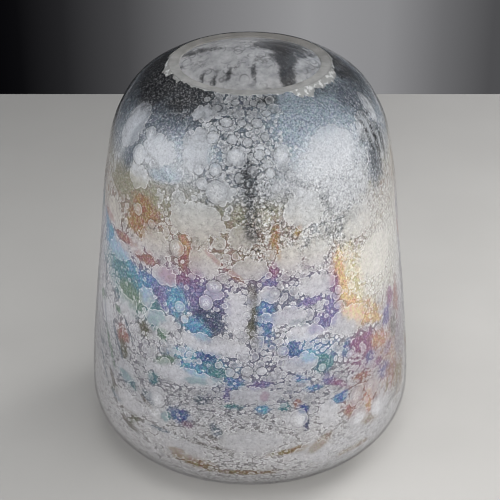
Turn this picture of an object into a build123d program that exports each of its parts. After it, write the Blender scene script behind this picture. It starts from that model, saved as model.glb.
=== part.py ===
"""Hand blown, cased art glass vase, modelled layer by layer as the glass was gathered.

Millimetres, +Z up. The origin is the centre of the foot, and -Y is the front.
Depth always means the distance below the finished outer surface.
"""

import os
from math import cos, pi, radians, sin

from build123d import *

# Overall form
BELLY_RADIUS = 86.0
FOOT_RADIUS = 59.0
HEEL_HEIGHT = 27.0
LIP_HEIGHT = 208.0
LIP_BORE_RADIUS = 34.5
# The wall above the heel, as (radius, height). The last point lies beyond the ground lip.
WALL_POINTS = [(82.2, 75), (77.4, 117), (73.0, 154), (66.8, 181), (55.9, 198), (39.8, 208), (26.0, 212)]

# Depth of each layer's inner face
CASING_DEPTH = 1.0
FILM_DEPTH = 1.4
SMOKE_DEPTH = 1.9
BOWL_DEPTH = 3.6
BASE_THICKNESS = 13.0
BOWL_FLOOR_RADIUS = 52.0
BOWL_HEEL_HEIGHT = 40.0

# Ragged upper edge of the smoke glass and the film, seen from above
EDGE_RADIUS = 43.0
EDGE_TEETH = 40
EDGE_SWING = 2.2

# Ground and polished pontil mark under the foot
PONTIL_RADIUS = 15.0
PONTIL_SINK = 0.6

# Pale islands: (azimuth in degrees from the front, height, half width, half height, lean in degrees).
# Azimuth grows to the right as the front is faced.
SHOULDER_ISLANDS = [
    (-63, 188, 8, 13, -15),
    (-42, 183, 10, 7, 10),
    (-23, 188, 6.5, 10, 0),
    (-25, 202, 5, 3.5, 0),
    (-6, 187, 4, 4, 0),
    (13, 187, 3.5, 4, 0),
    (38, 186, 13, 10, 0),
    (-11, 171, 5.5, 5.5, 0),
    (-50, 168, 6, 5.5, 0),
    (64, 186, 5, 9, 10),
]
BELT_ISLANDS = [
    (-21, 156, 14, 8.5, 0),
    (21, 161, 10, 8, 0),
    (-38, 139, 7.5, 6.5, 10),
    (-48, 133, 4.5, 4, 0),
    (-17, 135, 7, 7.5, 0),
    (-3, 150, 6, 5, 0),
    (0, 134, 7.5, 5, 0),
    (14, 138, 6, 6, 0),
    (25, 139, 5.5, 6.5, 0),
    (-66, 141, 9, 7, 0),
    (45, 148, 10, 8, 0),
]
BELLY_ISLANDS = [
    (-33, 124, 6, 4.5, 0),
    (-60, 124, 11, 4.5, 12),
    (-13, 121, 3.5, 3.5, 0),
    (-5, 112, 4.5, 9, 0),
    (7, 121, 4, 3.5, 0),
    (25, 122, 10, 5, 0),
    (14, 108, 9, 4, 0),
    (20, 98, 9, 4, 0),
    (38, 98, 11, 7, 0),
    (56, 124, 15, 12, 0),
    (-41, 109, 4.5, 4, 0),
    (-34, 99, 9, 4.5, 0),
    (-51, 97, 7, 5.5, 0),
    (-13, 93, 16, 4, -4),
    (-66, 85, 8, 6, 0),
]
HEEL_ISLANDS = [
    (-25, 73, 21, 4, 0),
    (-50, 62, 6, 5, 0),
    (-35, 57, 5, 4.5, 0),
    (-48, 44, 12, 5, 0),
    (-33, 46, 5, 4, 0),
    (18, 82, 9, 3.5, 0),
    (16, 51, 4.5, 4.5, 0),
    (28, 50, 5.5, 6, 0),
    (2, 66, 12, 4, 0),
    (40, 54, 4.5, 4.5, 0),
    (49, 54, 4.5, 5, 0),
    (41, 40, 5.5, 5, 0),
    (53, 40, 4.5, 6, 0),
    (0, 40, 16, 6, 0),
    (-24, 30, 12, 5, 0),
    (22, 30, 10, 5, 0),
]
# Away from the front the islands follow a staggered lattice: (height, count, half width, half height).
LATTICE_START = 82
LATTICE_END = 278
SHOULDER_LATTICE = [(188, 5, 10, 8), (170, 5, 12, 7)]
BELT_LATTICE = [(151, 6, 11, 8), (133, 7, 9, 7)]
BELLY_LATTICE = [(115, 7, 10, 7), (98, 8, 9, 6), (83, 7, 12, 5)]
HEEL_LATTICE = [(67, 8, 11, 5), (51, 7, 12, 6), (35, 8, 11, 5)]

# Lobed outline of an island
LOBE_SHARE = 0.07
LOBES = 3
OUTLINE_POINTS = 12


def wall_normal(index, points):
    """Outward normal of the wall at one of its points, from its neighbours."""
    before = Vector(*points[max(index - 1, 0)])
    after = Vector(*points[min(index + 1, len(points) - 1)])
    along = (after - before).normalized()
    return Vector(along.Y, -along.X)


def sunk_wall(depth):
    """The wall's points, moved straight in by the depth."""
    points = [(BELLY_RADIUS, HEEL_HEIGHT)] + WALL_POINTS
    sunk = [Vector(BELLY_RADIUS - depth, HEEL_HEIGHT)]
    for index in range(1, len(points)):
        sunk.append(Vector(*points[index]) - wall_normal(index, points) * depth)
    return sunk


def rising_quarter(centre_radius, centre_height, half_width, half_height):
    """Quarter ellipse of a heel, from level at its foot to upright at its top."""
    centre = (centre_radius, centre_height)
    return EllipticalCenterArc(centre, half_width, half_height, start_angle=270, arc_size=90)


def close_and_revolve(edges, floor_start, wall_end):
    """Closes an outline to the axis and turns it into a solid, cut flat at the lip."""
    top = Vector(0, wall_end.Y)
    bottom = Vector(0, floor_start.Y)
    section = Wire(edges + [Line(wall_end, top), Line(top, bottom), Line(bottom, floor_start)])
    body = revolve(Plane.XZ * make_face(section), Axis.Z)
    above_lip = extrude(Plane.XY.offset(LIP_HEIGHT) * Circle(BELLY_RADIUS), LIP_HEIGHT)
    return body - above_lip


def glass_body(depth):
    """Everything inside the surface that lies at this depth."""
    heel = rising_quarter(FOOT_RADIUS, HEEL_HEIGHT, BELLY_RADIUS - FOOT_RADIUS - depth, HEEL_HEIGHT - depth)
    wall = sunk_wall(depth)
    side = Spline(wall, tangents=[(0, 1), wall[-1] - wall[-2]])
    return close_and_revolve([heel, side], Vector(FOOT_RADIUS, depth), wall[-1])


def bowl_space():
    """The hollow of the vase, up through the mouth."""
    wall = sunk_wall(BOWL_DEPTH)
    lip_wall = Vector(LIP_BORE_RADIUS, LIP_HEIGHT)
    wall_points = [Vector(wall[0].X, BOWL_HEEL_HEIGHT + BASE_THICKNESS)] + wall[1:-2] + [lip_wall]
    heel_width = wall_points[0].X - BOWL_FLOOR_RADIUS
    heel = rising_quarter(BOWL_FLOOR_RADIUS, wall_points[0].Y, heel_width, BOWL_HEEL_HEIGHT)
    side = Spline(wall_points, tangents=[(0, 1), lip_wall - wall[-3]])
    return close_and_revolve([heel, side], Vector(BOWL_FLOOR_RADIUS, BASE_THICKNESS), lip_wall)


def lip_zone():
    """Upright block whose ragged plan is where the smoke glass and the film stop short of the lip."""
    corners = []
    for tooth in range(2 * EDGE_TEETH):
        angle = pi * tooth / EDGE_TEETH
        swing = (-1) ** tooth * (0.6 + 0.4 * sin(7 * angle)) + 0.5 * sin(3 * angle)
        radius = EDGE_RADIUS + EDGE_SWING * swing
        corners.append((radius * cos(angle), radius * sin(angle)))
    plan = make_face(Polyline(corners, close=True))
    return Pos(0, 0, LIP_HEIGHT - 30) * extrude(plan, 60)


def outer_point(height):
    """Radius and outward slope angle of the outer wall at a height, between its points."""
    points = [(FOOT_RADIUS + 20, 8), (BELLY_RADIUS, HEEL_HEIGHT + 8)] + WALL_POINTS
    for (low_r, low_z), (high_r, high_z) in zip(points, points[1:]):
        if low_z <= height <= high_z:
            share = (height - low_z) / (high_z - low_z)
            lift = Vector(1, 0).get_signed_angle(Vector(high_z - low_z, low_r - high_r))
            return low_r + share * (high_r - low_r), lift
    raise ValueError("the height is outside the wall")


def island_cutter(azimuth, height, half_width, half_height, lean):
    """Block with an island's lobed outline, standing through the wall along its normal."""
    radius, lift = outer_point(height)
    angle = radians(azimuth)
    outward = Vector(sin(angle) * cos(radians(lift)), -cos(angle) * cos(radians(lift)), sin(radians(lift)))
    sideways = Vector(cos(angle), sin(angle), 0)
    spot = Vector(radius * sin(angle), -radius * cos(angle), height)
    outline = []
    for index in range(OUTLINE_POINTS):
        turn = 2 * pi * index / OUTLINE_POINTS
        lobe = 1 + LOBE_SHARE * cos(LOBES * turn + azimuth + height)
        outline.append((half_width * lobe * cos(turn), half_height * lobe * sin(turn)))
    face = Rot(0, 0, lean) * make_face(Spline(outline, periodic=True))
    return extrude(Plane(spot, x_dir=sideways, z_dir=outward) * face, 6, both=True)


def lattice(rows):
    """Staggered rows of islands over the back half of the vase."""
    islands = []
    for row, (height, count, half_width, half_height) in enumerate(rows):
        step = (LATTICE_END - LATTICE_START) / count
        for index in range(count):
            azimuth = LATTICE_START + step * (index + 0.5) + 4 * sin(5 * index + 3 * row)
            waver = sin(4 * index + 2 * row)
            grow = 0.86 + 0.14 * cos(3 * index + row)
            half_sizes = (half_width * grow, half_height * grow)
            islands.append((azimuth, height + 2 * waver, *half_sizes, 12 * waver))
    return islands


ISLAND_NODES = {
    "shoulder_islands": SHOULDER_ISLANDS + lattice(SHOULDER_LATTICE),
    "belt_islands": BELT_ISLANDS + lattice(BELT_LATTICE),
    "belly_islands": BELLY_ISLANDS + lattice(BELLY_LATTICE),
    "heel_islands": HEEL_ISLANDS + lattice(HEEL_LATTICE),
}


def build_vase():
    """All the layers, as a dictionary from node name to shape."""
    outer = glass_body(0)
    under_casing = glass_body(CASING_DEPTH)
    under_film = glass_body(FILM_DEPTH)
    under_smoke = glass_body(SMOKE_DEPTH)
    ragged = lip_zone()

    nodes = {}
    nodes["inner_gather"] = under_smoke - bowl_space()
    nodes["smoke_overlay"] = under_film - under_smoke - ragged
    film = under_casing - under_film - ragged

    pontil_ball_radius = (PONTIL_RADIUS**2 + PONTIL_SINK**2) / (2 * PONTIL_SINK)
    pontil_mark = Pos(0, 0, PONTIL_SINK - pontil_ball_radius) * Sphere(pontil_ball_radius)
    buried = (under_casing - under_smoke) - ragged
    nodes["clear_casing"] = outer - under_smoke - buried - pontil_mark

    cutters = []
    for name, islands in ISLAND_NODES.items():
        tiles = []
        for island in islands:
            cutter = island_cutter(*island)
            tiles += (film & cutter).solids()
            cutters.append(cutter)
        nodes[name] = Compound(tiles)
    nodes["lustre_film"] = film - cutters
    return nodes


os.makedirs("parts", exist_ok=True)
for node_name, shape in build_vase().items():
    export_step(shape, f"parts/{node_name}.step")
    print(node_name, len(shape.solids()), "solids", round(shape.volume / 1000, 2), "cm3")
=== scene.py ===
"""Hand blown, cased art glass vase, as it looks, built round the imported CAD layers.

The frame is the CAD model's: metres, +Z up, -Y the front. Lengths in this file are millimetres and angles
are degrees until a mesh is made. Azimuth is 0 at the front and grows to the right as the front is faced.
The pattern in the glass is worked out once, on a grid of azimuth by length along the wall. The film and the
islands are cut from that one grid, so they meet edge to edge like a mosaic.
"""

import math

import bpy
import numpy as np
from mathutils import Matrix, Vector


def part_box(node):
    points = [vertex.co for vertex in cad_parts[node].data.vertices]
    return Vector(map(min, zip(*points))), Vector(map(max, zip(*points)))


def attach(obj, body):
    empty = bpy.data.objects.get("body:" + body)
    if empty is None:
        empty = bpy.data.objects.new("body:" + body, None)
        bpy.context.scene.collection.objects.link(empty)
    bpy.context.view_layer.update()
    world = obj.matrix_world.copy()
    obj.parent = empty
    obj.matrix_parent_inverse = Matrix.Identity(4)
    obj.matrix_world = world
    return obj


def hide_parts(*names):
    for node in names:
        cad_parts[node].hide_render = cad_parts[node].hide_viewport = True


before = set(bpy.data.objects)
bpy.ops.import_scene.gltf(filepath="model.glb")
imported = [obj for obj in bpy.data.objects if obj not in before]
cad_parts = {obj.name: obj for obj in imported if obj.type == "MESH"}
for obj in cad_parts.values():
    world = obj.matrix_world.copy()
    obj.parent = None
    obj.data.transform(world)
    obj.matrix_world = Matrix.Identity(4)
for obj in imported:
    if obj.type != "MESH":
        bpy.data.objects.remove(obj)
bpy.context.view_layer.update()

MM = 0.001
BODY = "root"
rng = np.random.default_rng(7)

# ---------------------------------------------------------------- form

_, casing_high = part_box("clear_casing")
BOX_MARGIN = 0.05
BELLY_RADIUS = casing_high.y / MM - BOX_MARGIN
LIP_HEIGHT = casing_high.z / MM
FOOT_RADIUS = 59.0
FOOT_STEPS = 29
HEEL_HEIGHT = 27.0
WALL_POINTS = [(82.2, 75), (77.4, 117), (73.0, 154), (66.8, 181), (55.9, 198), (39.8, 208), (26.0, 212)]
LIP_BORE_RADIUS = 34.5
PONTIL_RADIUS = 15.0
PONTIL_SINK = 0.6
FILM_DEPTH = 1.4
BOWL_DEPTH = 3.6
BASE_THICKNESS = 13.0
BOWL_FLOOR_RADIUS = 52.0
BOWL_HEEL_HEIGHT = 40.0


def smooth_curve(points, first_direction, steps):
    """Points along a smooth curve through the given ones (cubic pieces with chord-length tangents)."""
    points = np.array(points, float)
    chords = np.diff(points, axis=0)
    lengths = np.linalg.norm(chords, axis=1)
    slopes = chords / lengths[:, None]
    tangents = np.empty_like(points)
    weights = lengths[:-1] / (lengths[:-1] + lengths[1:])
    tangents[1:-1] = slopes[:-1] * (1 - weights[:, None]) + slopes[1:] * weights[:, None]
    tangents[0] = first_direction
    tangents[-1] = slopes[-1]
    curve = [points[:1]]
    t = np.linspace(0, 1, steps + 1)[1:, None]
    for index, length in enumerate(lengths):
        start, end = points[index], points[index + 1]
        leave, arrive = tangents[index] * length, tangents[index + 1] * length
        curve.append(
            (2 * t**3 - 3 * t**2 + 1) * start + (t**3 - 2 * t**2 + t) * leave
            + (3 * t**2 - 2 * t**3) * end + (t**3 - t**2) * arrive
        )
    return np.concatenate(curve)


def rising_quarter(centre_radius, centre_height, half_width, half_height, steps=48):
    """Quarter ellipse of a heel, from level to upright."""
    turn = np.linspace(0, math.pi / 2, steps + 1)
    return np.column_stack(
        [centre_radius + half_width * np.sin(turn), centre_height - half_height * np.cos(turn)]
    )


class Outline:
    """A profile that can be read at any length along it, counted from the foot's edge."""

    def __init__(self, points, foot_radius):
        self.points = points
        steps = np.linalg.norm(np.diff(points, axis=0), axis=1)
        self.lengths = np.concatenate([[0], np.cumsum(steps)]) - foot_radius
        along = np.gradient(points, self.lengths, axis=0)
        along /= np.linalg.norm(along, axis=1)[:, None]
        self.normals = np.column_stack([along[:, 1], -along[:, 0]])

    def at(self, length, depth=0.0):
        """Radius and height at a length along the profile, sunk along the normal by the depth."""
        values = [np.interp(length, self.lengths, self.points[:, axis]) for axis in (0, 1)]
        normal = [np.interp(length, self.lengths, self.normals[:, axis]) for axis in (0, 1)]
        return values[0] - depth * normal[0], values[1] - depth * normal[1]

    def length_at(self, height):
        """Length along the wall at a height, above the heel's lowest part."""
        standing = self.lengths > 0
        return np.interp(height, self.points[standing, 1], self.lengths[standing])


def outer_outline():
    """The casing's outer profile: the level foot, the round heel, the wall and the shoulder."""
    foot = np.column_stack([np.linspace(0, FOOT_RADIUS, FOOT_STEPS + 1)[:-1], np.zeros(FOOT_STEPS)])
    heel = rising_quarter(FOOT_RADIUS, HEEL_HEIGHT, BELLY_RADIUS - FOOT_RADIUS, HEEL_HEIGHT)
    wall = smooth_curve([(BELLY_RADIUS, HEEL_HEIGHT)] + WALL_POINTS, (0, 1), 24)
    return Outline(np.concatenate([foot, heel[:-1], wall]), FOOT_RADIUS)


OUTER = outer_outline()
LIP_LENGTH = float(OUTER.length_at(LIP_HEIGHT))
LIP_RADIUS = float(OUTER.at(LIP_LENGTH)[0])

# ---------------------------------------------------------------- pattern grid

COLUMNS = 900
COLUMN_ANGLE = math.radians(360.0 / COLUMNS)
ROW_STEP = 0.6
GRID_BOTTOM = -6.0
GRID_PAST_LIP = 2.0
MEAN_RADIUS = 78
lengths = np.arange(GRID_BOTTOM, LIP_LENGTH + GRID_PAST_LIP, ROW_STEP)
azimuths = np.arange(COLUMNS) * 360.0 / COLUMNS - 180.0
grid_radius, grid_height = OUTER.at(lengths)
ROWS = len(lengths)


def angle_from(angles, azimuth):
    """The angles counted from an azimuth, from -180 to 180."""
    return (angles - azimuth + 180.0) % 360.0 - 180.0


def leaned(x, y, lean):
    """Coordinates along and across axes that lean by an angle."""
    c, s = math.cos(math.radians(lean)), math.sin(math.radians(lean))
    return x * c + y * s, y * c - x * s


def elliptical(x, y, half_width, half_height, lean=0):
    """How far out of an ellipse each point is: 0 in its middle and 1 on its edge."""
    along, up = leaned(x, y, lean)
    return np.sqrt((along / half_width) ** 2 + (up / half_height) ** 2)


def smooth_step(value, low, high):
    """0 at low and 1 at high, smooth between; low may be the larger."""
    share = np.clip((value - low) / (high - low), 0, 1)
    return share * share * (3 - 2 * share)


def lattice_noise(cell_width, cell_height, seed):
    """Smooth noise from -1 to 1 on the grid, seamless round the vase, with cells of about this size."""
    draw = np.random.default_rng(seed)
    across = max(4, int(round(2 * math.pi * MEAN_RADIUS / cell_width)))
    up = int(math.ceil(ROWS * ROW_STEP / cell_height)) + 2
    values = draw.uniform(-1, 1, (up, across))
    x = np.arange(COLUMNS) * across / COLUMNS
    y = np.arange(ROWS) * ROW_STEP / cell_height
    left, below = x.astype(int) % across, y.astype(int)
    right = (left + 1) % across
    fx, fy = smooth_step(x % 1, 0, 1)[None, :], smooth_step(y % 1, 0, 1)[:, None]
    low = values[below][:, left] * (1 - fx) + values[below][:, right] * fx
    high = values[below + 1][:, left] * (1 - fx) + values[below + 1][:, right] * fx
    return low * (1 - fy) + high * fy


def layered_noise(cell_width, cell_height, seed, layers=3):
    """Lattice noise with finer, fainter layers over it."""
    total, weight = 0, 1.0
    for layer in range(layers):
        shrink = 2.0**layer
        total = total + weight * lattice_noise(cell_width / shrink, cell_height / shrink, seed + layer)
        weight *= 0.5
    return total / (2 - 2 * weight)


class Blots:
    """Rounded shapes stamped on the grid. The field is the distance inside the nearest edge, in mm."""

    OUTSIDE = -9.0
    MARGIN = 1.6
    LEAST_RADIUS = 8.0
    TINY = 1e-6

    def __init__(self):
        self.field = np.full((ROWS, COLUMNS), self.OUTSIDE)
        self.tone = np.full((ROWS, COLUMNS), 0.5)

    def window(self, azimuth, length, reach):
        """The grid's rows and columns that a shape with this reach may touch."""
        rows = np.nonzero(np.abs(lengths - length) < reach)[0]
        radius = max(np.interp(length, lengths, grid_radius), self.LEAST_RADIUS)
        half = int(min(COLUMNS // 2 - 1, reach / (radius * COLUMN_ANGLE) * 1.25 + 2))
        middle = int(round((azimuth + 180.0) / 360.0 * COLUMNS))
        return rows, np.arange(middle - half, middle + half + 1) % COLUMNS

    def stamp(self, azimuth, length, half_width, half_height, lean=0, tone=0.5):
        """Adds an ellipse where it lies further inside than the shapes that are there already."""
        rows, columns = self.window(azimuth, length, max(half_width, half_height) + self.MARGIN)
        if not len(rows):
            return
        x = grid_radius[rows][:, None] * np.radians(angle_from(azimuths[columns], azimuth))[None, :]
        y = (lengths[rows] - length)[:, None]
        share = elliptical(x, y, half_width, half_height, lean) + self.TINY
        steepness = elliptical(x, y, half_width**2, half_height**2, lean) + self.TINY
        inside = np.minimum(share * (1 - share) / steepness, min(half_width, half_height))
        index = np.ix_(rows, columns)
        won = inside > self.field[index]
        self.field[index] = np.where(won, inside, self.field[index])
        self.tone[index] = np.where(won & (inside > -self.MARGIN), tone, self.tone[index])


# ---------------------------------------------------------------- islands, as in the CAD model

# (azimuth, height, half width, half height), and a lean where there is one
SHOULDER_ISLANDS = [
    (-63, 188, 8, 13, -15), (-42, 183, 10, 7, 10), (-23, 188, 6.5, 10), (-25, 202, 5, 3.5), (-6, 187, 4, 4),
    (13, 187, 3.5, 4), (38, 186, 13, 10), (-11, 171, 5.5, 5.5), (-50, 168, 6, 5.5), (64, 186, 5, 9, 10),
]
BELT_ISLANDS = [
    (-21, 156, 14, 8.5), (21, 161, 10, 8), (-38, 139, 7.5, 6.5, 10), (-48, 133, 4.5, 4), (-17, 135, 7, 7.5),
    (-3, 150, 6, 5), (0, 134, 7.5, 5), (14, 138, 6, 6), (25, 139, 5.5, 6.5), (-66, 141, 9, 7),
    (45, 148, 10, 8),
]
BELLY_ISLANDS = [
    (-33, 124, 6, 4.5), (-60, 124, 11, 4.5, 12), (-13, 121, 3.5, 3.5), (-5, 112, 4.5, 9), (7, 121, 4, 3.5),
    (25, 122, 10, 5), (14, 108, 9, 4), (20, 98, 9, 4), (38, 98, 11, 7), (56, 124, 15, 12),
    (-41, 109, 4.5, 4), (-34, 99, 9, 4.5), (-51, 97, 7, 5.5), (-13, 93, 16, 4, -4), (-66, 85, 8, 6),
]
HEEL_ISLANDS = [
    (-25, 73, 21, 4), (-50, 62, 6, 5), (-35, 57, 5, 4.5), (-48, 44, 12, 5), (-33, 46, 5, 4),
    (18, 82, 9, 3.5), (16, 51, 4.5, 4.5), (28, 50, 5.5, 6), (2, 66, 12, 4), (40, 54, 4.5, 4.5),
    (49, 54, 4.5, 5), (41, 40, 5.5, 5), (53, 40, 4.5, 6), (0, 40, 16, 6), (-24, 30, 12, 5), (22, 30, 10, 5),
]
# Away from the front the islands follow a staggered lattice: (height, count, half width, half height).
LATTICE_START = 82
LATTICE_END = 278
SHOULDER_LATTICE = [(188, 5, 10, 8), (170, 5, 12, 7)]
BELT_LATTICE = [(151, 6, 11, 8), (133, 7, 9, 7)]
BELLY_LATTICE = [(115, 7, 10, 7), (98, 8, 9, 6), (83, 7, 12, 5)]
HEEL_LATTICE = [(67, 8, 11, 5), (51, 7, 12, 6), (35, 8, 11, 5)]


def lattice(rows):
    """Staggered rows of islands over the back half of the vase."""
    islands = []
    for row, (height, count, half_width, half_height) in enumerate(rows):
        step = (LATTICE_END - LATTICE_START) / count
        for index in range(count):
            azimuth = LATTICE_START + step * (index + 0.5) + 4 * math.sin(5 * index + 3 * row)
            waver = math.sin(4 * index + 2 * row)
            grow = 0.86 + 0.14 * math.cos(3 * index + row)
            half_sizes = (half_width * grow, half_height * grow)
            islands.append((azimuth, height + 2 * waver, *half_sizes, 12 * waver))
    return islands


ISLAND_NODES = {
    "shoulder_islands": SHOULDER_ISLANDS + lattice(SHOULDER_LATTICE),
    "belt_islands": BELT_ISLANDS + lattice(BELT_LATTICE),
    "belly_islands": BELLY_ISLANDS + lattice(BELLY_LATTICE),
    "heel_islands": HEEL_ISLANDS + lattice(HEEL_LATTICE),
}
ISLAND_CORE = 0.93
SCALLOP_SPACING = 2.3


def stamp_island(blots, azimuth, height, half_width, half_height, lean=0, tone=0.5):
    """An island with the scalloped edge of froth: an ellipse ringed with small bubbles."""
    length = float(OUTER.length_at(height))
    radius = float(OUTER.at(length)[0])
    blots.stamp(azimuth, length, half_width * ISLAND_CORE, half_height * ISLAND_CORE, lean, tone)
    count = int(math.pi * (half_width + half_height) / SCALLOP_SPACING)
    for turn in np.linspace(0, 2 * math.pi, count, endpoint=False):
        turn += rng.uniform(-0.5, 0.5) * 2 * math.pi / count
        reach = rng.uniform(0.84, 0.98)
        x, y = leaned(half_width * reach * math.cos(turn), half_height * reach * math.sin(turn), -lean)
        size = rng.uniform(1.0, 2.4)
        tall = size * rng.uniform(0.8, 1.1)
        blots.stamp(azimuth + math.degrees(x / radius), length + y, size, tall, tone=tone)


# ---------------------------------------------------------------- pattern tables

# Display colours of the film
TONES = {
    "charcoal": (46, 48, 53), "slate": (104, 114, 128), "steel": (164, 178, 192), "silver": (170, 173, 176),
    "cream": (200, 196, 182), "khaki": (158, 154, 132), "ochre": (160, 124, 76), "gold": (208, 178, 128),
    "straw": (212, 200, 158), "orange": (186, 138, 102), "rust": (154, 108, 96), "magenta": (140, 92, 124),
    "violet": (114, 104, 152), "blue": (80, 118, 168), "azure": (88, 146, 184), "teal": (74, 124, 136),
    "green": (100, 128, 110), "olive": (94, 92, 72), "navy": (60, 70, 104), "umber": (112, 106, 100),
    "bronze": (126, 102, 58), "cobalt": (50, 80, 142), "mist": (142, 140, 149), "dusk": (112, 112, 136),
    "plum": (128, 104, 122), "clay": (156, 136, 118), "stone": (152, 148, 148),
}
# The film's tone between the patches, by height
BASE_TONES = [
    (0, "stone"), (40, "stone"), (56, "mist"), (96, "mist"), (106, "dusk"), (122, "dusk"), (132, "plum"),
    (140, "clay"), (152, "clay"), (162, "khaki"), (172, "silver"), (190, "steel"), (199, "slate"),
    (205, "charcoal"),
]

# In the tables below a place is (azimuth, height, half width, half height), and a lean where there is one.

# Where the film's tone differs over a wide part: (*place, tone)
TONE_PATCHES = [
    (34, 203, 30, 14, "steel"), (-8, 196, 15, 26, "slate"), (34, 160, 20, 20, "silver"),
    (46, 116, 10, 17, 10, "straw"), (64, 118, 26, 26, "cream"), (40, 118, 6, 17, 8, "straw"),
    (48, 98, 13, 4, -24, "gold"), (34, 118, 3, 12, 8, "orange"), (64, 62, 30, 26, "plum"),
    (4, 78, 32, 14, "dusk"), (46, 74, 12, 10, "magenta"), (44, 52, 12, 9, "rust"),
    (60, 62, 8, 16, "orange"), (22, 88, 14, 6, -20, "blue"), (-18, 82, 14, 6, -10, "azure"),
    (-56, 108, 22, 8, -16, "teal"), (-62, 36, 30, 14, "stone"), (66, 26, 40, 14, "stone"),
]
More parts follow.
